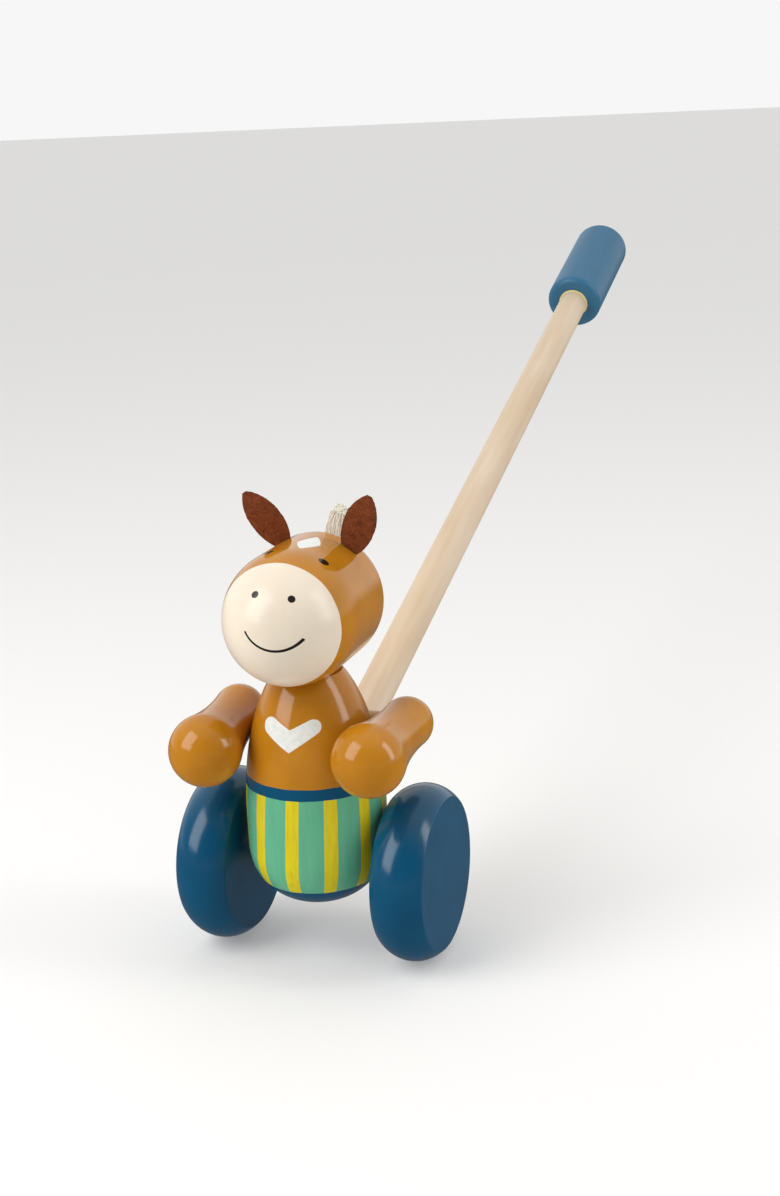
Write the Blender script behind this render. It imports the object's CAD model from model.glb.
import math
import random

import bmesh
import bpy
from mathutils import Matrix, Vector


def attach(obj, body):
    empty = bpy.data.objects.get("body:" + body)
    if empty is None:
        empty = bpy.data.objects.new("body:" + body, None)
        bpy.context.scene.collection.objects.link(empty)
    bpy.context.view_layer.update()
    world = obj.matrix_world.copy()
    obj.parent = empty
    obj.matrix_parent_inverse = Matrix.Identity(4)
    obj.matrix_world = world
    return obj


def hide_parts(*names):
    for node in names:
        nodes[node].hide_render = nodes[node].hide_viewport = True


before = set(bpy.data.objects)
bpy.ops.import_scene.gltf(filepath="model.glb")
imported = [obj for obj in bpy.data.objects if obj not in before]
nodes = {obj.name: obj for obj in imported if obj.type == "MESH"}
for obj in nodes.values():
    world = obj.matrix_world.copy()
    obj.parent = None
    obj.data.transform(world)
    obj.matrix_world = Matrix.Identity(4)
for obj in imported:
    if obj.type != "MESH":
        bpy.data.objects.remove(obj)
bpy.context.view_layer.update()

mm = 0.001


# A point given in millimetres.
def spot(x, y, z):
    return Vector((x, y, z)) * mm


# An sRGB hex colour as linear red, green, blue and alpha.
def linear(code):
    parts = [int(code[i : i + 2], 16) / 255 for i in (1, 3, 5)]
    return tuple(c / 12.92 if c < 0.04045 else ((c + 0.055) / 1.055) ** 2.4 for c in parts) + (1.0,)


print("stage: camera, floor and lights")

studio = {
    "cameraAt": spot(269.76, -845.43, 335.59),
    "cameraUp": Vector((-0.0514, 0.2678, 0.9621)),
    "cameraBack": Vector((0.3427, -0.9002, 0.2689)),
    "lens": 53.14,
    "clip": (0.05, 100),
    "aim": spot(0, -150, 110),  # the middle of the toy's front, which the softboxes face
    "floorSize": 60.0,
    "floorColour": "#D2D1CF",
    "floorGlow": 0.24,  # the paper is lit from below as well, which softens the shadows
    "sunWay": Vector((-0.45, -0.5, 0.9)),
    "sunStrength": 0.5,
    "sunAngle": 40.0,  # degrees; a wide sky panel's soft shadow
    "below": 0.16,  # brightness of the room below, in front, behind, and along the horizon
    "inFront": 0.16,
    "behind": 0.85,
    "frontHorizon": 0.34,
    "backHorizon": 0.95,
    "backWay": (0, 0.86, 0.51),  # towards the bright upper back of the room
    "backFade": (-0.15, 0.55),  # where the room turns from dim to bright, each from and to
    "horizonFade": (-0.3, 0.3),
    "liftFade": (0.05, 0.25),
    "floorFade": (-0.12, 0.0),
    "backdrop": 0.93,  # what the camera sees above the floor's far edge, from every side
}
softboxes = {  # direction from the toy, distance, width, height in metres, power in watts
    "keySoftbox": (Vector((-0.51, -0.63, 0.58)), 1.2, 0.72, 1.0, 9.4),
    "sideSoftbox": (Vector((0.894, 0.0625, 0.446)), 1.3, 0.36, 1.1, 5.6),
}

camera = bpy.data.objects.new("camera", bpy.data.cameras.new("camera"))
bpy.context.scene.collection.objects.link(camera)
camera.data.lens = studio["lens"]
back = studio["cameraBack"].normalized()
side = studio["cameraUp"].cross(back).normalized()
turned = Matrix((side, back.cross(side), back)).transposed().to_4x4()
camera.matrix_world = Matrix.Translation(studio["cameraAt"]) @ turned
camera.data.clip_start, camera.data.clip_end = studio["clip"]
bpy.context.scene.camera = camera

sun = bpy.data.lights.new("skyPanel", "SUN")
sun.energy, sun.angle = studio["sunStrength"], math.radians(studio["sunAngle"])
sunObject = bpy.data.objects.new("skyPanel", sun)
bpy.context.scene.collection.objects.link(sunObject)
sunObject.rotation_euler = studio["sunWay"].to_track_quat("Z", "Y").to_euler()
sunObject.visible_glossy = False
for name, (way, distance, width, height, power) in softboxes.items():
    lamp = bpy.data.lights.new(name, "AREA")
    lamp.shape, lamp.size, lamp.size_y, lamp.energy = "RECTANGLE", width, height, power
    lampObject = bpy.data.objects.new(name, lamp)
    bpy.context.scene.collection.objects.link(lampObject)
    lampObject.location = studio["aim"] + way.normalized() * distance
    lampObject.rotation_euler = way.to_track_quat("Z", "Y").to_euler()

bpy.context.scene.view_settings.view_transform = "Standard"


# Four values of a Map Range node: from two numbers to two numbers.
def fade(start, end, low=0.0, high=1.0):
    return {"From Min": start, "From Max": end, "To Min": low, "To Max": high}


# Adds a node; settings are attributes or socket values, links are sockets or nodes.
def addNode(tree, kind, settings=None, links=None):
    node = tree.nodes.new("ShaderNode" + kind)
    for name, value in (settings or {}).items():
        if isinstance(name, str) and hasattr(node, name):
            setattr(node, name, value)
        else:
            node.inputs[name].default_value = value
    for name, source in (links or {}).items():
        socket = source if isinstance(source, bpy.types.NodeSocket) else source.outputs[0]
        tree.links.new(socket, node.inputs[name])
    return node


# A room that is bright behind and above the toy, pale along the horizon and dim in front.
world = bpy.data.worlds.new("studio")
bpy.context.scene.world = world
world.use_nodes = True
tree = world.node_tree
look = addNode(tree, "TexCoord").outputs["Generated"]
axes = addNode(tree, "SeparateXYZ", {}, {0: look})
toBack = addNode(tree, "VectorMath", {"operation": "DOT_PRODUCT", 1: studio["backWay"]}, {0: look})
span = fade(*studio["backFade"], studio["inFront"], studio["behind"])
upper = addNode(tree, "MapRange", span, {0: toBack.outputs["Value"]})
span = fade(*studio["horizonFade"], studio["frontHorizon"], studio["backHorizon"])
horizon = addNode(tree, "MapRange", span, {0: axes.outputs["Y"]})
lift = addNode(tree, "MapRange", fade(*studio["liftFade"]), {0: axes.outputs["Z"]})
room = addNode(tree, "Mix", {"data_type": "FLOAT"}, {0: lift, 2: horizon, 3: upper})
aboveFloor = addNode(tree, "MapRange", fade(*studio["floorFade"]), {0: axes.outputs["Z"]})
room = addNode(tree, "Mix", {"data_type": "FLOAT", 2: studio["below"]}, {0: aboveFloor, 3: room})
seen = addNode(tree, "LightPath").outputs["Is Camera Ray"]
room = addNode(tree, "Mix", {"data_type": "FLOAT", 3: studio["backdrop"]}, {0: seen, 2: room})
tree.links.new(room.outputs[0], tree.nodes["Background"].inputs["Strength"])
tree.nodes["Background"].inputs["Color"].default_value = (1, 1, 1, 1)


# An empty node material with its Principled shader.
def newMaterial(name):
    material = bpy.data.materials.new(name)
    material.use_nodes = True
    return material, material.node_tree, material.node_tree.nodes["Principled BSDF"]


# Object coordinates in millimetres, centred on a piece and turned with it.
def ownAxes(tree, centre, turning):
    place = addNode(tree, "TexCoord").outputs["Object"]
    turn = {"vector_type": "TEXTURE", "Location": centre, "Rotation": turning.to_euler()}
    local = addNode(tree, "Mapping", turn, {0: place})
    return addNode(tree, "VectorMath", {"operation": "SCALE", "Scale": 1000.0}, {0: local})


inkEdge = 0.06  # mm, over which a painted edge fades each way


# 1 where a distance in millimetres is below zero, with a thin soft edge.
def inkMask(tree, distance):
    return addNode(tree, "MapRange", fade(inkEdge, -inkEdge), {0: distance})


# Distance in millimetres outside a brush stroke with round ends.
def strokeDistance(tree, point, start, end, startRadius, endRadius):
    span = Vector(end) - Vector(start)
    away = addNode(tree, "VectorMath", {"operation": "SUBTRACT", 1: start}, {0: point})
    perLength = span / span.length_squared
    along = addNode(tree, "VectorMath", {"operation": "DOT_PRODUCT", 1: perLength}, {0: away})
    clamped = {"operation": "MULTIPLY", 1: 1.0, "use_clamp": True}
    share = addNode(tree, "Math", clamped, {0: along.outputs["Value"]})
    foot = addNode(tree, "VectorMath", {"operation": "SCALE", 0: span}, {"Scale": share})
    gap = addNode(tree, "VectorMath", {"operation": "DISTANCE"}, {0: away, 1: foot})
    radius = addNode(tree, "MapRange", {"To Min": startRadius, "To Max": endRadius}, {0: share})
    return addNode(tree, "Math", {"operation": "SUBTRACT"}, {0: gap.outputs["Value"], 1: radius})


# One coat of paint over another, where the mask is 1.
def paintOver(tree, under, paint, mask):
    mix = addNode(tree, "Mix", {"data_type": "RGBA"}, {0: mask, 6: under, 7: paint})
    return mix.outputs[2]


# A paint or a wood that is a little lighter and darker, over a size in millimetres.
def mottled(tree, point, light, dark, size, stretch=(1, 1, 1)):
    spread = addNode(tree, "VectorMath", {"operation": "MULTIPLY", 1: stretch}, {0: point})
    cloud = addNode(tree, "TexNoise", {"Scale": 1 / size, "Detail": 3.0}, {0: spread})
    share = addNode(tree, "MapRange", fade(0.3, 0.7), {0: cloud})
    mix = addNode(tree, "Mix", {"data_type": "RGBA", 6: linear(dark), 7: linear(light)}, {0: share})
    return mix.outputs[2]


# Relief in metres, as a bump on a material.
def raiseSurface(tree, shader, height, strength=1.0):
    bump = addNode(tree, "Bump", {"Strength": strength, "Distance": 1.0}, {"Height": height})
    tree.links.new(bump.outputs[0], shader.inputs["Normal"])


enamel = {
    "ior": 1.45,
    "roughness": 0.13,
    "peelSize": 7.0,  # mm between the soft waves of brushed and dipped paint
    "peelHeight": 0.012,
    "nibCell": 9.0,  # mm between specks of dust caught in the paint
    "nibRadius": 0.35,
    "nibHeight": 0.03,
    "paintHeight": 0.03,  # thickness of a painted mark
}


# Gloss enamel over turned wood: soft waves, a few nibs and marks that stand proud.
def enamelFinish(tree, shader, point, colour, marks=None):
    tree.links.new(colour, shader.inputs["Base Color"])
    shader.inputs["Roughness"].default_value = enamel["roughness"]
    shader.inputs["IOR"].default_value = enamel["ior"]
    waves = addNode(tree, "TexNoise", {"Scale": 1 / enamel["peelSize"], "Detail": 2.0}, {0: point})
    relief = addNode(tree, "Math", {"operation": "MULTIPLY", 1: enamel["peelHeight"]}, {0: waves})
    specks = addNode(tree, "TexVoronoi", {"Scale": 1 / enamel["nibCell"]}, {0: point})
    span = fade(enamel["nibRadius"] / enamel["nibCell"], 0.0, 0.0, enamel["nibHeight"])
    nib = addNode(tree, "MapRange", span, {0: specks})
    relief = addNode(tree, "Math", {"operation": "ADD"}, {0: relief, 1: nib})
    if marks:
        proud = {"operation": "MULTIPLY", 1: enamel["paintHeight"]}
        raised = addNode(tree, "Math", proud, {0: marks})
        relief = addNode(tree, "Math", {"operation": "ADD"}, {0: relief, 1: raised})
    height = addNode(tree, "Math", {"operation": "MULTIPLY", 1: mm}, {0: relief})
    raiseSurface(tree, shader, height)


paints = {  # light and dark tone, and millimetres from one patch to the next
    "chestnut": ("#BD7D1B", "#B27416", 14.0),
    "navy": ("#004E70", "#00486A", 11.0),
    "wheelNavy": ("#004E70", "#00486A", 16.0),
    "green": ("#68B591", "#60AE88", 3.0),
    "yellow": ("#E0CF20", "#D2BE1C", 1.1),
    "cream": ("#EADDCA", "#E5D7C2", 16.0),
    "white": ("#ECEEEA", "#DDE0DA", 2.0),
}
inkColour = "#1B1512"


print("stage: body")

body = {
    "axis": spot(0, -231.6, 0),
    "baseTop": 35.0,  # heights above the floor, in mm
    "beltFoot": 75.6,
    "beltTop": 80.2,
    "edgeWobble": 0.25,  # mm, and how far apart the wobbles are
    "wobbleSize": 9.0,
    "stripePitch": 15.0,  # about mm round the body from one stripe to the next
    "stripeTremble": 1.6,  # degrees for each millimetre of wobble
    "stripeEvery": 30.0,  # degrees
    "stripeAt": 3.7,
    "stripeHalf": 0.177,  # of the spacing
    "stripeCrowding": 2.03,  # degrees; the stripes are a little wider apart in front
    "stripeSlant": 4.9,
    "stripeSway": 3.2,
    "heartLeft": ((-8.1, 0, 103.5), 3.5),
    "heartRight": ((9.1, 0, 104.0), 3.1),
    "heartMiddle": ((0.3, 0, 98.4), 4.1),
    "heartTip": (0.4, 0, 94.4),
    "heartEdges": ((-11.2, 0, 101.4), (12.2, 0, 102.4)),
    "heartRound": 0.4,
    "brushed": (1, 1, 0.12),  # upright brush marks are long
}

# Dipped and brushed gloss enamel: chestnut above, a navy belt and base, and green with
# hand-painted yellow stripes between them, each coat with a soft raised edge.
bodyPaint, tree, shader = newMaterial("gloss enamel, striped body")
point = ownAxes(tree, body["axis"], Matrix.Identity(3))
wobble = addNode(tree, "TexNoise", {"Scale": 1 / body["wobbleSize"], "Detail": 1.0}, {0: point})
span = fade(0.0, 1.0, -body["edgeWobble"], body["edgeWobble"])
wobble = addNode(tree, "MapRange", span, {0: wobble})
axes = addNode(tree, "SeparateXYZ", {}, {0: point})
height = addNode(tree, "Math", {"operation": "ADD"}, {0: axes.outputs["Z"], 1: wobble})
forward = addNode(tree, "Math", {"operation": "MULTIPLY", 1: -1.0}, {0: axes.outputs["Y"]})
angle = addNode(tree, "Math", {"operation": "ARCTAN2"}, {0: axes.outputs["X"], 1: forward})
degrees = addNode(tree, "Math", {"operation": "DEGREES"}, {0: angle})
crowd = addNode(tree, "Math", {"operation": "SINE"}, {0: angle})
lessen = {"operation": "MULTIPLY_ADD", 1: -body["stripeCrowding"]}
crowd = addNode(tree, "Math", lessen, {0: crowd, 2: degrees})
start = {"operation": "SUBTRACT", 1: math.radians(body["stripeAt"])}
sway = addNode(tree, "Math", start, {0: angle})
sway = addNode(tree, "Math", {"operation": "SINE"}, {0: sway})
slant = {"operation": "MULTIPLY_ADD", 1: -body["stripeSway"], 2: body["stripeSlant"]}
sway = addNode(tree, "Math", slant, {0: sway})
drop = addNode(tree, "MapRange", fade(body["beltFoot"], body["baseTop"]), {0: axes.outputs["Z"]})
slanted = addNode(tree, "Math", {"operation": "MULTIPLY_ADD"}, {0: sway, 1: drop, 2: crowd})
shake = {"operation": "MULTIPLY_ADD", 1: body["stripeTremble"]}
tremble = addNode(tree, "Math", shake, {0: wobble, 2: slanted})
phase = addNode(tree, "Math", {"operation": "SUBTRACT", 1: body["stripeAt"]}, {0: tremble})
phase = addNode(tree, "Math", {"operation": "DIVIDE", 1: body["stripeEvery"]}, {0: phase})
phase = addNode(tree, "Math", {"operation": "PINGPONG", 1: 0.5}, {0: phase})
stripe = addNode(tree, "Math", {"operation": "SUBTRACT", 1: body["stripeHalf"]}, {0: phase})
stripe = addNode(tree, "Math", {"operation": "MULTIPLY", 1: body["stripePitch"]}, {0: stripe})
stripes = inkMask(tree, stripe)
baseTop = addNode(tree, "Math", {"operation": "SUBTRACT", 1: body["baseTop"]}, {0: height})
aboveBase = addNode(tree, "MapRange", fade(-inkEdge, inkEdge), {0: baseTop})
beltFoot = addNode(tree, "Math", {"operation": "SUBTRACT", 1: body["beltFoot"]}, {0: height})
belowBelt = inkMask(tree, beltFoot)
beltTop = addNode(tree, "Math", {"operation": "SUBTRACT", 1: body["beltTop"]}, {0: height})
belowTop = inkMask(tree, beltTop)
greenBand = addNode(tree, "Math", {"operation": "MULTIPLY"}, {0: aboveBase, 1: belowBelt})
stripeBand = addNode(tree, "Math", {"operation": "MULTIPLY"}, {0: stripes, 1: greenBand})

front = addNode(tree, "VectorMath", {"operation": "MULTIPLY", 1: (1, 0, 1)}, {0: point})
lobes = []
for name in ("heartLeft", "heartRight"):
    (start, startRadius), (end, endRadius) = body[name], body["heartMiddle"]
    lobes.append(strokeDistance(tree, front, start, end, startRadius, endRadius))
heart = addNode(tree, "Math", {"operation": "MINIMUM"}, {0: lobes[0], 1: lobes[1]})
tip = Vector(body["heartTip"])
fromTip = addNode(tree, "VectorMath", {"operation": "SUBTRACT", 1: tip}, {0: front})
for corner, sideways in zip(body["heartEdges"], (-1, 1)):
    way = Vector(corner) - tip
    outward = Vector((-way.z, 0, way.x)).normalized()
    if outward.x * sideways < 0:
        outward = -outward
    cut = addNode(tree, "VectorMath", {"operation": "DOT_PRODUCT", 1: outward}, {0: fromTip})
    rounded = {"operation": "SMOOTH_MAX", 2: body["heartRound"]}
    heart = addNode(tree, "Math", rounded, {0: heart, 1: cut.outputs["Value"]})
heartMask = inkMask(tree, heart)
inFront = addNode(tree, "Math", {"operation": "GREATER_THAN", 1: 0.0}, {0: forward})
heartMask = addNode(tree, "Math", {"operation": "MULTIPLY"}, {0: heartMask, 1: inFront})

colour = mottled(tree, point, *paints["chestnut"])
colour = paintOver(tree, colour, mottled(tree, point, *paints["navy"]), belowTop)
brushedGreen = mottled(tree, point, *paints["green"], body["brushed"])
colour = paintOver(tree, colour, brushedGreen, greenBand)
brushedYellow = mottled(tree, point, *paints["yellow"], body["brushed"])
colour = paintOver(tree, colour, brushedYellow, stripeBand)
colour = paintOver(tree, colour, mottled(tree, point, *paints["white"]), heartMask)
raised = addNode(tree, "Math", {"operation": "ADD"}, {0: stripeBand, 1: heartMask})
raised = addNode(tree, "Math", {"operation": "ADD"}, {0: raised, 1: belowTop})
enamelFinish(tree, shader, point, colour, raised)
nodes["body"].data.materials[0] = bodyPaint


print("stage: head")

head = {
    "centre": spot(0, -243.5, 146.2),
    "yaw": 3.3,
    "pitch": -1.8,
    "roll": 7.5,
    "radius": 26.9,
    "muzzleRoughness": 0.27,
    "muzzleFrom": 13.6,  # mm in front of the muzzle's centre
    "eye": (11.37, 24.38, 2.0),
    "eyeRadius": 2.3,
    "nostrils": ((-6.7, 14.2, 26.1), (7.6, 14.8, 25.6)),
    "nostrilRadius": 1.45,
    "edgeWobble": 0.3,  # mm, and how far apart the wobbles are
    "wobbleSize": 8.0,
    "dotWobble": 0.5,  # share of the wobble that the round dots take
    "smileCentre": (3.1, 8.93, 0.0),
    "smileRadius": 13.74,
    "smileHalf": (0.40, 0.60),  # half the line's width at its two ends
    "smileSpread": 54.3,  # degrees each side of straight down
    "smileReach": 11.2,  # mm from its middle to each end
    "smileEnd": 16.0,  # mm for each unit of the cosine that ends it
    "smileRound": 0.3,
    "blaze": (0.0, 12.5, 4.6, 10.2),  # middle across and back, half width, half length
    "blazeRound": 1.25,
    "blazeScale": 4.0,  # mm for each unit across its edge
}

headTurn = (
    Matrix.Rotation(math.radians(head["yaw"]), 3, "Z")
    @ Matrix.Rotation(math.radians(head["pitch"]), 3, "X")
    @ Matrix.Rotation(math.radians(head["roll"]), 3, "Y")
    @ Matrix.Rotation(math.radians(90), 3, "X")
)
headPlace = Matrix.Translation(head["centre"]) @ headTurn.to_4x4()

# Gloss enamel: a chestnut skull with a dipped cream muzzle, and fine black and white marks.
headPaint, tree, shader = newMaterial("gloss enamel, painted head")
point = ownAxes(tree, head["centre"], headTurn)  # x across, y up, z towards the nose
axes = addNode(tree, "SeparateXYZ", {}, {0: point})
wobble = addNode(tree, "TexNoise", {"Scale": 1 / head["wobbleSize"], "Detail": 1.0}, {0: point})
span = fade(0.0, 1.0, -head["edgeWobble"], head["edgeWobble"])
wobble = addNode(tree, "MapRange", span, {0: wobble})
muzzleLine = addNode(tree, "Math", {"operation": "ADD"}, {0: axes.outputs["Z"], 1: wobble})
span = fade(head["muzzleFrom"] - inkEdge, head["muzzleFrom"] + inkEdge)
muzzleMask = addNode(tree, "MapRange", span, {0: muzzleLine})

eyeX, eyeY, eyeZ = head["eye"]
dotMask = None
for centre, radius in (
    ((eyeX, eyeY, eyeZ), head["eyeRadius"]),
    ((-eyeX, eyeY, eyeZ), head["eyeRadius"]),
    (head["nostrils"][0], head["nostrilRadius"]),
    (head["nostrils"][1], head["nostrilRadius"]),
):
    gap = addNode(tree, "VectorMath", {"operation": "DISTANCE", 1: centre}, {0: point})
    rim = addNode(tree, "Math", {"operation": "SUBTRACT", 1: radius}, {0: gap.outputs["Value"]})
    shake = {"operation": "MULTIPLY_ADD", 1: head["dotWobble"]}
    mask = inkMask(tree, addNode(tree, "Math", shake, {0: wobble, 2: rim}))
    if dotMask:
        mask = addNode(tree, "Math", {"operation": "MAXIMUM"}, {0: dotMask, 1: mask})
    dotMask = mask

flat = addNode(tree, "VectorMath", {"operation": "MULTIPLY", 1: (1, 1, 0)}, {0: point})
shift = {"operation": "SUBTRACT", 1: head["smileCentre"]}
fromCentre = addNode(tree, "VectorMath", shift, {0: flat})
reach = addNode(tree, "VectorMath", {"operation": "LENGTH"}, {0: fromCentre})
reach = reach.outputs["Value"]
offLine = addNode(tree, "Math", {"operation": "SUBTRACT", 1: head["smileRadius"]}, {0: reach})
offLine = addNode(tree, "Math", {"operation": "ABSOLUTE"}, {0: offLine})
parts = addNode(tree, "SeparateXYZ", {}, {0: fromCentre})
span = fade(-head["smileReach"], head["smileReach"], *head["smileHalf"])
width = addNode(tree, "MapRange", span, {0: parts.outputs["X"]})
offLine = addNode(tree, "Math", {"operation": "SUBTRACT"}, {0: offLine, 1: width})
down = addNode(tree, "Math", {"operation": "DIVIDE"}, {0: parts.outputs["Y"], 1: reach})
endDrop = head["smileEnd"] * math.cos(math.radians(head["smileSpread"]))
pastEnd = {"operation": "MULTIPLY_ADD", 1: head["smileEnd"], 2: endDrop}
endGap = addNode(tree, "Math", pastEnd, {0: down})
rounded = {"operation": "SMOOTH_MAX", 2: head["smileRound"]}
smile = addNode(tree, "Math", rounded, {0: offLine, 1: endGap})
smileMask = inkMask(tree, smile)
smileMask = addNode(tree, "Math", {"operation": "MULTIPLY"}, {0: smileMask, 1: muzzleMask})
inkLines = addNode(tree, "Math", {"operation": "MAXIMUM"}, {0: smileMask, 1: dotMask})

across, behind, halfWidth, halfLength = head["blaze"]
sums = []
for axis, middle, half in (("X", across, halfWidth), ("Z", -behind, halfLength)):
    off = addNode(tree, "Math", {"operation": "SUBTRACT", 1: middle}, {0: axes.outputs[axis]})
    off = addNode(tree, "Math", {"operation": "ABSOLUTE"}, {0: off})
    off = addNode(tree, "Math", {"operation": "DIVIDE", 1: half}, {0: off})
    sums.append(addNode(tree, "Math", {"operation": "POWER", 1: head["blazeRound"]}, {0: off}))
blaze = addNode(tree, "Math", {"operation": "ADD"}, {0: sums[0], 1: sums[1]})
stretch = {"operation": "MULTIPLY_ADD", 1: head["blazeScale"], 2: -head["blazeScale"]}
blaze = addNode(tree, "Math", stretch, {0: blaze})
blazeMask = inkMask(tree, blaze)
onTop = addNode(tree, "Math", {"operation": "GREATER_THAN", 1: 0.0}, {0: axes.outputs["Y"]})
blazeMask = addNode(tree, "Math", {"operation": "MULTIPLY"}, {0: blazeMask, 1: onTop})

colour = mottled(tree, point, *paints["chestnut"])
colour = paintOver(tree, colour, mottled(tree, point, *paints["cream"]), muzzleMask)
colour = paintOver(tree, colour, mottled(tree, point, *paints["white"]), blazeMask)
ink = {"data_type": "RGBA", 7: linear(inkColour)}
inked = addNode(tree, "Mix", ink, {0: inkLines, 6: colour})
colour = inked.outputs[2]
raised = addNode(tree, "Math", {"operation": "ADD"}, {0: muzzleMask, 1: inkLines})
raised = addNode(tree, "Math", {"operation": "ADD"}, {0: raised, 1: blazeMask})
enamelFinish(tree, shader, point, colour, raised)
span = fade(0.0, 1.0, enamel["roughness"], head["muzzleRoughness"])
softer = addNode(tree, "MapRange", span, {0: muzzleMask})
tree.links.new(softer.outputs[0], shader.inputs["Roughness"])
nodes["head"].data.materials[0] = headPaint


print("stage: arms and wheels")

shoulder = spot(0, -221.4, 97.5)  # middle of the arms' dowel
wheels = {
    "axle": spot(0, -226.4, 36),
    "roughness": 0.19,
}

# Dipped gloss enamel over turned wood: even, with soft waves in its reflections.
armPaint, tree, shader = newMaterial("gloss enamel, chestnut")
point = ownAxes(tree, shoulder, Matrix.Identity(3))
enamelFinish(tree, shader, point, mottled(tree, point, *paints["chestnut"]))
for name in ("left_arm", "right_arm"):
    nodes[name].data.materials[0] = armPaint

# Dipped gloss enamel, deep navy, a little less glossy: the toy's broadest highlights.
wheelPaint, tree, shader = newMaterial("gloss enamel, navy")
point = ownAxes(tree, wheels["axle"], Matrix.Identity(3))
enamelFinish(tree, shader, point, mottled(tree, point, *paints["wheelNavy"]))
shader.inputs["Roughness"].default_value = wheels["roughness"]
for name in ("left_wheel", "right_wheel"):
    nodes[name].data.materials[0] = wheelPaint


print("stage: stick and grip")

stick = {
    "centre": spot(0, -231.6, 61.4),
    "rise": 19.8,
    "light": "#DBC8AF",
    "dark": "#D0B696",
    "roughness": 0.55,
    "grainWidth": 1.1,  # mm, half the way between streaks; a little coarser, so that it shows
    "grainLength": 45.0,
    "grainShare": 0.22,  # of the tone is fine grain, the rest is broad patches
    "patchSize": 9.0,
    "patchStretch": (1, 1, 0.12),
    "toneFade": (0.36, 0.64),
    "fleckFade": (0.60, 0.72),
    "fleckDark": 0.35,
    "relief": 0.00002,  # metres, for the grain and the pores
    "fleckLength": 2.2,
    "fleckWidth": 0.35,
}
stickTurn = Matrix.Rotation(math.radians(stick["rise"] - 90), 3, "X")
dowels = {"light": "#DFC6A0", "dark": "#C9A87C", "roughness": 0.5, "neck": spot(0, -231.6, 120)}
grip = {
    "light": "#2F6A8C",
    "dark": "#2A6484",
    "patchSize": 6.0,
    "brushed": (1, 1, 0.15),
    "roughness": 0.42,
}


# Sanded bare birch: long grain along Z, short flecks and a pore relief.
def bareWood(name, centre, turning, wood):
    material, tree, shader = newMaterial(name)
    point = ownAxes(tree, centre, turning)
    long = (1 / stick["grainWidth"], 1 / stick["grainWidth"], 1 / stick["grainLength"])
    grainPoint = addNode(tree, "VectorMath", {"operation": "MULTIPLY", 1: long}, {0: point})
    fine = {"Scale": 0.5, "Detail": 4.0, "Distortion": 0.4}
    grain = addNode(tree, "TexNoise", fine, {0: grainPoint})
    spread = {"operation": "MULTIPLY", 1: stick["patchStretch"]}
    broad = addNode(tree, "VectorMath", spread, {0: point})
    wide = {"Scale": 1 / stick["patchSize"], "Detail": 2.0}
    patches = addNode(tree, "TexNoise", wide, {0: broad})
    short = (1 / stick["fleckWidth"], 1 / stick["fleckWidth"], 1 / stick["fleckLength"])
    fleckPoint = addNode(tree, "VectorMath", {"operation": "MULTIPLY", 1: short}, {0: point})
    flecks = addNode(tree, "TexNoise", {"Scale": 0.8, "Detail": 1.0}, {0: fleckPoint})
    fleck = addNode(tree, "MapRange", fade(*stick["fleckFade"]), {0: flecks})
    tone = addNode(tree, "Math", {"operation": "MULTIPLY", 1: stick["grainShare"]}, {0: grain})
    rest = {"operation": "MULTIPLY_ADD", 1: 1 - stick["grainShare"]}
    tone = addNode(tree, "Math", rest, {0: patches, 2: tone})
    share = addNode(tree, "MapRange", fade(*stick["toneFade"]), {0: tone})
    light, dark = linear(wood["light"]), linear(wood["dark"])
    mix = addNode(tree, "Mix", {"data_type": "RGBA", 6: dark, 7: light}, {0: share})
    soft = addNode(tree, "Math", {"operation": "MULTIPLY", 1: stick["fleckDark"]}, {0: fleck})
    under = addNode(tree, "Mix", {"data_type": "RGBA", 7: dark}, {0: soft, 6: mix.outputs[2]})
    tree.links.new(under.outputs[2], shader.inputs["Base Color"])
    shader.inputs["Roughness"].default_value = wood["roughness"]
    relief = addNode(tree, "Math", {"operation": "MULTIPLY", 1: stick["relief"]}, {0: grain})
    sunk = {"operation": "MULTIPLY_ADD", 1: -stick["relief"]}
    pores = addNode(tree, "Math", sunk, {0: fleck, 2: relief})
    raiseSurface(tree, shader, pores, 0.6)
    return material


# Sanded, unfinished birch: pale, warm, with soft long patches and fine short flecks.
stickWood = bareWood("bare birch, push stick", stick["centre"], stickTurn, stick)
for name in ("lower_stick", "upper_stick"):
    nodes[name].data.materials[0] = stickWood

# Plain birch dowel rod, a little darker than the stick, with the grain across the toy.
crossways = Matrix.Rotation(math.radians(90), 3, "Y")
crossDowel = bareWood("birch dowel, crossways", wheels["axle"], crossways, dowels)
for name in ("axle", "shoulder_dowel"):
    nodes[name].data.materials[0] = crossDowel
neckDowel = bareWood("birch dowel, upright", dowels["neck"], Matrix.Identity(3), dowels)
nodes["neck_dowel"].data.materials[0] = neckDowel

# Satin lacquer, steel blue: softer highlights than the enamel, with a faint brushed tone.
gripPaint, tree, shader = newMaterial("satin lacquer, steel blue")
point = ownAxes(tree, stick["centre"], stickTurn)
blue = mottled(tree, point, grip["light"], grip["dark"], grip["patchSize"], grip["brushed"])
enamelFinish(tree, shader, point, blue)
shader.inputs["Roughness"].default_value = grip["roughness"]
nodes["grip"].data.materials[0] = gripPaint

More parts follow.
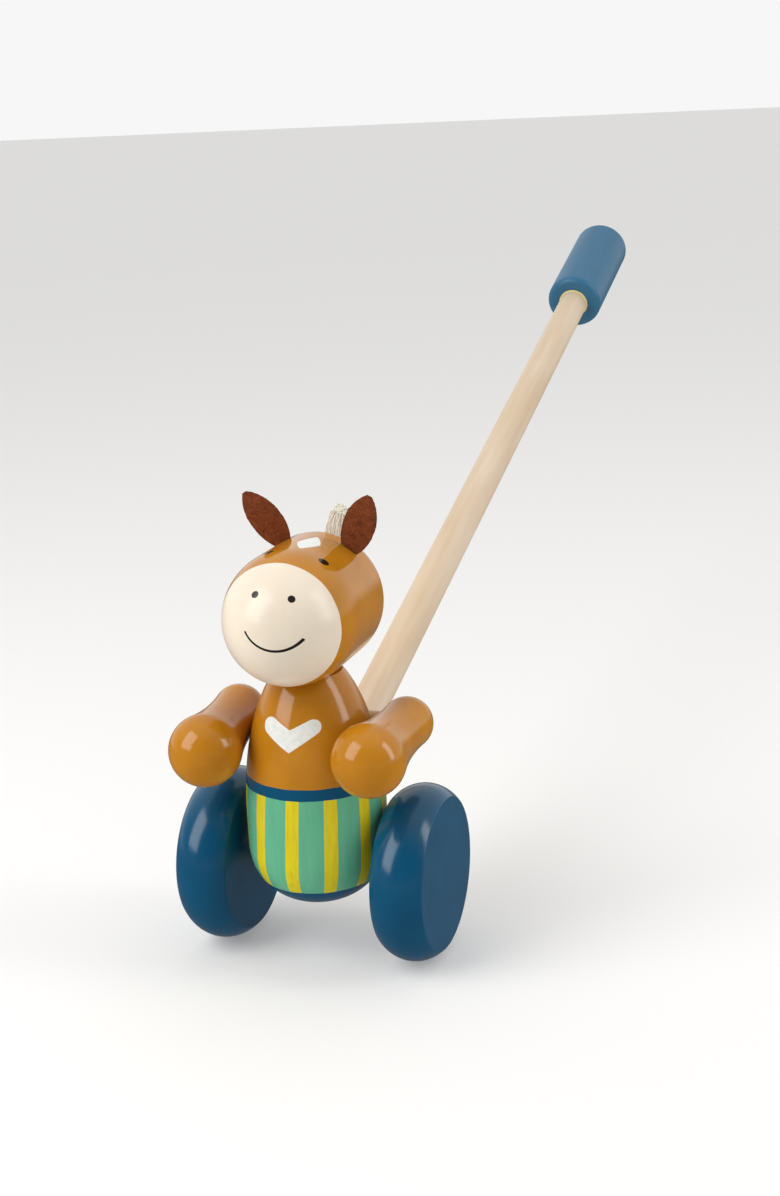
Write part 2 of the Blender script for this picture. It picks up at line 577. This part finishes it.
# Turned brass, warm and bright, and zinc-plated steel, cool and a little dull, both with
# lathe lines about 0.5 mm apart.
latheLines = (0.1, 0.1, 1)
for node, name, light, dark, rough in (
    ("stick_insert", "turned brass", "#D9B25C", "#C79C48", 0.3),
    ("stick_stud", "zinc-plated steel", "#B9BCBF", "#A4A8AC", 0.38),
):
    material, tree, shader = newMaterial(name)
    point = ownAxes(tree, stick["centre"], stickTurn)
    turnedMetal = mottled(tree, point, light, dark, 0.4, latheLines)
    tree.links.new(turnedMetal, shader.inputs["Base Color"])
    shader.inputs["Metallic"].default_value = 1.0
    shader.inputs["Roughness"].default_value = rough
    lines = addNode(tree, "VectorMath", {"operation": "MULTIPLY", 1: latheLines}, {0: point})
    ridges = addNode(tree, "TexNoise", {"Scale": 1 / 0.5}, {0: lines})
    height = addNode(tree, "Math", {"operation": "MULTIPLY", 1: 0.00001}, {0: ridges})
    raiseSurface(tree, shader, height)
    nodes[node].data.materials[0] = material


# A finished piece at the origin that rides on a body.
def newPiece(name, mesh, body, material):
    piece = bpy.data.objects.new(name, mesh)
    bpy.context.scene.collection.objects.link(piece)
    for each in material if isinstance(material, (list, tuple)) else [material]:
        mesh.materials.append(each)
    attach(piece, body)
    return piece


print("stage: ears")

ear = {
    "place": {"left": 29.0, "right": 34.5},  # degrees from the top of the head
    "behind": 25.5,
    "forward": 10.0,
    "splay": {"left": 17.5, "right": -41.0},
    "length": 26.0,
    "curve": 18.5,
    "rootHalf": 2.5,
    "tab": 5.6,
    "felt": 2.0,
    "cut": (0.0134, 0.0316),  # metres, the felt's flat width, and its length with the root
    "cutArea": 0.000287,  # square metres of the flat leaf
    "edgeRound": 0.35,
    "blunt": 0.9,  # mm, rounded off the leaf's tip
    "cup": 0.5,  # mm, how far the leaf's middle lies behind its edges
    "columns": 14,
    "rows": 34,
    "fibres": 420,
    "fibreLength": 1.1,
    "fibreRadius": 0.035,
    "fibreScatter": 0.8,
    "fibreSink": 0.12,
    "fibreArch": 0.35,
    "ripple": 0.14,  # mm, the pressed felt's unevenness
    "light": "#98502B",
    "dark": "#55250F",
    "edgeLight": "#4A2214",
    "edgeDark": "#33160C",
    "wispSize": 0.45,  # mm; real fibres are far finer and would not show
    "clumpSize": 2.6,
    "wispShare": 0.75,
    "nap": 0.00035,  # metres
}

# Wool felt, 2 mm: matted red-brown fibres that scatter light softly, with no weave.
feltWool, tree, shader = newMaterial("wool felt, red-brown")
point = ownAxes(tree, head["centre"], headTurn)
matted = {"Scale": 1 / ear["wispSize"], "Detail": 5.0, "Distortion": 1.4}
wisps = addNode(tree, "TexNoise", matted, {0: point})
matted = {"Scale": 1 / ear["clumpSize"], "Detail": 2.0, "Distortion": 0.6}
clumps = addNode(tree, "TexNoise", matted, {0: point})
tone = addNode(tree, "Math", {"operation": "MULTIPLY", 1: ear["wispShare"]}, {0: wisps})
rest = {"operation": "MULTIPLY_ADD", 1: 1 - ear["wispShare"]}
tone = addNode(tree, "Math", rest, {0: clumps, 2: tone})
share = addNode(tree, "MapRange", fade(0.36, 0.64), {0: tone})
light, dark = linear(ear["light"]), linear(ear["dark"])
mix = addNode(tree, "Mix", {"data_type": "RGBA", 6: dark, 7: light}, {0: share})
tree.links.new(mix.outputs[2], shader.inputs["Base Color"])
shader.inputs["Roughness"].default_value = 0.95
shader.inputs["Specular IOR Level"].default_value = 0.2
shader.inputs["Sheen Weight"].default_value = 0.25
shader.inputs["Sheen Tint"].default_value = linear("#C98A60")
height = addNode(tree, "Math", {"operation": "MULTIPLY", 1: ear["nap"]}, {0: tone})
raiseSurface(tree, shader, height)

# The felt's cut edge: denser and darker, where the blade has packed the fibres.
feltEdge, tree, shader = newMaterial("wool felt, cut edge")
point = ownAxes(tree, head["centre"], headTurn)
cutEdge = mottled(tree, point, ear["edgeLight"], ear["edgeDark"], 0.7)
tree.links.new(cutEdge, shader.inputs["Base Color"])
shader.inputs["Roughness"].default_value = 1.0
shader.inputs["Specular IOR Level"].default_value = 0.1
shader.inputs["Sheen Weight"].default_value = 0.15


# Half the leaf's width at a height above its root, in millimetres.
def leafHalf(z):
    if z <= 0:
        return ear["rootHalf"]
    chord = Vector((-ear["rootHalf"], ear["length"]))
    middle = Vector((ear["rootHalf"] / 2, ear["length"] / 2))
    aside = Vector((-chord.y, chord.x)).normalized()
    centre = middle + aside * math.sqrt(ear["curve"] ** 2 - (chord.length / 2) ** 2)
    return centre.x + math.sqrt(max(ear["curve"] ** 2 - (z - centre.y) ** 2, 0))


# Where an ear stands: its leaf is in X and Z, its thickness along Y.
def earFoot(side):
    hand = {"left": 1, "right": -1}[side]
    angle = math.radians(ear["place"][side]) * hand
    foot = Vector((math.sin(angle), math.cos(angle), 0)) * head["radius"]
    foot.z = -ear["behind"]
    splayed = Matrix.Rotation(math.radians(-ear["splay"][side]), 3, "Z")
    leaning = Matrix.Rotation(math.radians(ear["forward"] - 90), 3, "X")
    return headPlace @ Matrix.Translation(foot * mm) @ (splayed @ leaning).to_4x4()


random.seed(11)
for side in ("left", "right"):
    bm = bmesh.new()
    bmesh.ops.create_grid(bm, x_segments=ear["columns"], y_segments=ear["rows"], size=1.0)
    span = ear["length"] + ear["tab"]
    for vert in bm.verts:
        share = (vert.co.y + 1) / 2
        z = -ear["tab"] + span * share
        half = leafHalf(min(z, ear["length"])) - 0.02
        z = min(z, ear["length"] - ear["blunt"] * share**40)
        x = vert.co.x * half
        vert.co = Vector((x, ear["cup"] * (x / 7) ** 2 * (1 if z > 0 else 0), z))
    bmesh.ops.solidify(bm, geom=bm.faces[:], thickness=ear["felt"])
    lowest = min(v.co.y for v in bm.verts)
    highest = max(v.co.y for v in bm.verts)
    bmesh.ops.translate(bm, verts=bm.verts, vec=(0, -(lowest + highest) / 2, 0))
    bmesh.ops.recalc_face_normals(bm, faces=bm.faces)
    rim = [e for e in bm.edges if len(e.link_faces) == 2 and e.calc_face_angle(0) > 1.0]
    bmesh.ops.bevel(
        bm,
        geom=rim,
        offset=ear["edgeRound"],
        offset_type="OFFSET",
        segments=2,
        profile=0.5,
        affect="EDGES",
        clamp_overlap=True,
        material=-1,
    )
    for face in bm.faces:
        face.smooth = True
        face.material_index = 1 if abs(face.normal.y) < 0.6 else 0
    place = earFoot(side)
    for vert in bm.verts:
        wave = math.sin(vert.co.x * 3.1 + vert.co.z * 2.3) * math.sin(vert.co.z * 1.7)
        vert.co += vert.normal * ear["ripple"] * wave
    outside = [f for f in bm.faces if f.calc_center_median().z > 0.5]
    weights = [f.calc_area() for f in outside]
    picked = random.choices(outside, weights, k=ear["fibres"])
    starts = [(f.calc_center_median().copy(), f.normal.copy()) for f in picked]
    bmesh.ops.transform(bm, matrix=place @ Matrix.Scale(mm, 4), verts=bm.verts)
    mesh = bpy.data.meshes.new(side + "_ear_felt")
    bm.to_mesh(mesh)
    bm.free()

    strands = bpy.data.curves.new("strands", "CURVE")
    strands.dimensions = "3D"
    strands.bevel_depth = ear["fibreRadius"] * mm
    strands.bevel_resolution = 0
    strands.use_fill_caps = True
    for start, normal in starts:
        wander = Vector([random.uniform(-1, 1) for _ in range(3)])
        scatter = Vector([random.uniform(-0.5, 0.5) for _ in range(3)])
        start = start + scatter * ear["fibreScatter"] - normal * ear["fibreSink"]
        along = (normal * 0.25 + wander * 0.9).normalized()
        along = along * ear["fibreLength"] * random.uniform(0.5, 1.2)
        curl = along.cross(normal) * random.uniform(-0.4, 0.4)
        spline = strands.splines.new("POLY")
        spline.points.add(3)
        for i, bead in enumerate(spline.points):
            t = i / 3
            here = start + along * t + curl * (t * t)
            here += normal * ear["fibreArch"] * math.sin(math.pi * t)
            bead.co = (*((place @ (here * mm).to_4d()).xyz), 1.0)
            bead.radius = 1.0 - 0.5 * t
    holder = bpy.data.objects.new("strands", strands)
    fuzz = bpy.data.meshes.new_from_object(holder)
    fuzz.name = side + "_ear_fuzz"
    bpy.data.objects.remove(holder)
    piece = newPiece(side + "_ear_felt", mesh, "toy", [feltWool, feltEdge])
    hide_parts(side + "_ear")
    loose = newPiece(side + "_ear_fuzz", fuzz, "toy", feltWool)


print("stage: mane")

mane = {
    "shift": 3.8,
    "half": 3.6,
    "start": 31.2,
    "skullLength": 40.6,
    "skullRound": 9.5,
    "length": 13.0,
    "strands": 2700,
    "radius": 0.20,
    "coreShare": 0.12,  # of the strands are thick and lie inside
    "coreRadius": 1.2,
    "skinShare": 0.7,  # of the others stand at the sides and the front, where they show
    "frontLength": 0.8,  # of the full length, at the very front
    "rampLength": 2.5,  # mm along the crest until strands have their full length
    "lean": 0.10,  # of its length, that a strand leans to the pony's left
    "bow": 0.8,
    "light": "#FBF8EC",
    "dark": "#EFEADA",
    "threadSize": 0.35,  # mm from one twisted thread to the next
    "threadHeight": 0.0001,
}
straight = mane["skullLength"] - mane["skullRound"] - mane["start"]
bend = mane["skullRound"] * math.pi / 2
crestLength = straight + bend + head["radius"] - mane["skullRound"]

# Cotton yarn, unbleached: dull, creamy, each strand a twist of fine threads.
cottonYarn, tree, shader = newMaterial("cotton yarn, unbleached")
point = ownAxes(tree, head["centre"], headTurn)
cotton = mottled(tree, point, mane["light"], mane["dark"], 1.2)
tree.links.new(cotton, shader.inputs["Base Color"])
shader.inputs["Roughness"].default_value = 0.9
shader.inputs["Specular IOR Level"].default_value = 0.2
shader.inputs["Sheen Weight"].default_value = 0.2
twist = addNode(tree, "TexNoise", {"Scale": 1 / mane["threadSize"], "Detail": 2.0}, {0: point})
height = addNode(tree, "Math", {"operation": "MULTIPLY", 1: mane["threadHeight"]}, {0: twist})
raiseSurface(tree, shader, height)


# A point of the head's middle line and its outward way, so far along the mane.
def crestLine(distance):
    radius = head["radius"]
    if distance < straight:
        return Vector((0, radius, -mane["start"] - distance)), Vector((0, 1, 0))
    if distance < straight + bend:
        angle = (distance - straight) / mane["skullRound"]
        centre = Vector((0, radius - mane["skullRound"], -mane["skullLength"] + mane["skullRound"]))
        way = Vector((0, math.cos(angle), -math.sin(angle)))
        return centre + way * mane["skullRound"], way
    low = radius - mane["skullRound"] - (distance - straight - bend)
    return Vector((0, low, -mane["skullLength"])), Vector((0, 0, -1))


random.seed(29)
strands = bpy.data.curves.new("strands", "CURVE")
strands.dimensions = "3D"
strands.bevel_depth = mane["radius"] * mm
strands.bevel_resolution = 0
strands.use_fill_caps = True
for number in range(mane["strands"]):
    core = number < mane["strands"] * mane["coreShare"]
    margin = 0.8 if core else 0  # mm that the thick strands keep from both ends
    along = random.uniform(margin, crestLength - margin)
    aside = random.uniform(-mane["half"], mane["half"]) * (0.66 if core else 1.0)
    if not core and random.random() < mane["skinShare"]:
        if random.random() < 0.2:
            along = random.uniform(0, 0.9)
        else:
            aside = math.copysign(mane["half"] * random.uniform(0.85, 1.0), aside)
    foot, way = crestLine(along)
    foot.x = mane["shift"] + aside
    sink = head["radius"] - math.sqrt(head["radius"] ** 2 - foot.x**2) if way.y > 0.05 else 0
    foot.y -= sink * max(way.y, 0.0)  # follows the head's roundness to the side
    grown = min(1.0, mane["frontLength"] + (1 - mane["frontLength"]) * along / mane["rampLength"])
    length = mane["length"] * grown * (0.9 if core else random.uniform(0.92, 1.0))
    outward = mane["lean"] - mane["lean"] * aside / mane["half"]
    lean = Vector((outward + random.uniform(-0.05, 0.05), 0, 0))
    lean += Vector((0, random.uniform(-0.05, 0.05), random.uniform(-0.08, 0.02)))
    spline = strands.splines.new("POLY")
    spline.points.add(5)
    curl = Vector([random.uniform(-0.4, 0.4) for _ in range(3)])
    for i, bead in enumerate(spline.points):
        t = i / 5
        here = foot - way * 0.3 + (way + lean * t).normalized() * length * t
        here += curl * math.sin(t * math.pi) * mane["bow"]
        bead.co = (*((headPlace @ (here * mm).to_4d()).xyz), 1.0)
        bead.radius = mane["coreRadius"] / mane["radius"] if core else random.uniform(0.85, 1.1)
holder = bpy.data.objects.new("strands", strands)
mesh = bpy.data.meshes.new_from_object(holder)
mesh.name = "mane_yarn"
for face in mesh.polygons:
    face.use_smooth = True
bpy.data.objects.remove(holder)
piece = newPiece("mane_yarn", mesh, "toy", cottonYarn)
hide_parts("mane")


print("stage: glue bead")

glue = {
    "along": 455.2,  # mm up the stick, at the grip's mouth
    "radius": 8.05,
    "bead": 0.55,
    "light": "#F2E592",
    "dark": "#E6D278",
    "patchSize": 1.5,
}

# Wood glue, dried: a thin, pale yellow, glossy line at the grip's mouth.
woodGlue, tree, shader = newMaterial("dried wood glue")
point = ownAxes(tree, stick["centre"], stickTurn)
dried = mottled(tree, point, glue["light"], glue["dark"], glue["patchSize"])
tree.links.new(dried, shader.inputs["Base Color"])
shader.inputs["Roughness"].default_value = 0.25
shader.inputs["Coat Weight"].default_value = 0.4

bm = bmesh.new()
bmesh.ops.create_circle(bm, cap_ends=False, radius=glue["bead"], segments=10)
upright = Matrix.Translation((glue["radius"], 0, 0)) @ Matrix.Rotation(math.radians(90), 4, "X")
bmesh.ops.transform(bm, matrix=upright, verts=bm.verts)
bmesh.ops.spin(
    bm,
    geom=bm.verts[:] + bm.edges[:],
    cent=(0, 0, 0),
    axis=(0, 0, 1),
    angle=math.tau,
    steps=64,
    use_merge=True,
    use_duplicate=False,
)
for vert in bm.verts:  # an uneven bead, as a brush leaves it
    vert.co.z += 0.12 * math.sin(5 * math.atan2(vert.co.y, vert.co.x))
    vert.co.z += 0.1 * math.sin(11 * math.atan2(vert.co.x, vert.co.y))
stickPlace = Matrix.Translation(stick["centre"]) @ stickTurn.to_4x4()
mouth = stickPlace @ Matrix.Translation((0, 0, glue["along"] * mm)) @ Matrix.Scale(mm, 4)
bmesh.ops.transform(bm, matrix=mouth, verts=bm.verts)
bmesh.ops.recalc_face_normals(bm, faces=bm.faces)
mesh = bpy.data.meshes.new("grip_glue")
for face in bm.faces:
    face.smooth = True
bm.to_mesh(mesh)
bm.free()
newPiece("grip_glue", mesh, "toy", woodGlue)


# Matt seamless paper: pale, even, with the faintest tooth.
paper, tree, shader = newMaterial("matt seamless paper")
place = addNode(tree, "TexCoord").outputs["Object"]
tooth = addNode(tree, "TexNoise", {"Scale": 900.0, "Detail": 2.0}, {0: place})
shader.inputs["Base Color"].default_value = linear(studio["floorColour"])
shader.inputs["Emission Color"].default_value = (1, 1, 1, 1)
shader.inputs["Emission Strength"].default_value = studio["floorGlow"]
shader.inputs["Roughness"].default_value = 0.9
shader.inputs["Specular IOR Level"].default_value = 0.1
height = addNode(tree, "Math", {"operation": "MULTIPLY", 1: 0.00002}, {0: tooth})
raiseSurface(tree, shader, height, 0.5)
bm = bmesh.new()
bmesh.ops.create_grid(bm, x_segments=2, y_segments=2, size=studio["floorSize"] / 2)
mesh = bpy.data.meshes.new("floor")
bm.to_mesh(mesh)
bm.free()
mesh.materials.append(paper)
floor = bpy.data.objects.new("floor", mesh)
bpy.context.scene.collection.objects.link(floor)
floor.visible_glossy = False  # the dark paints stay deep; the room's glow stands in for it
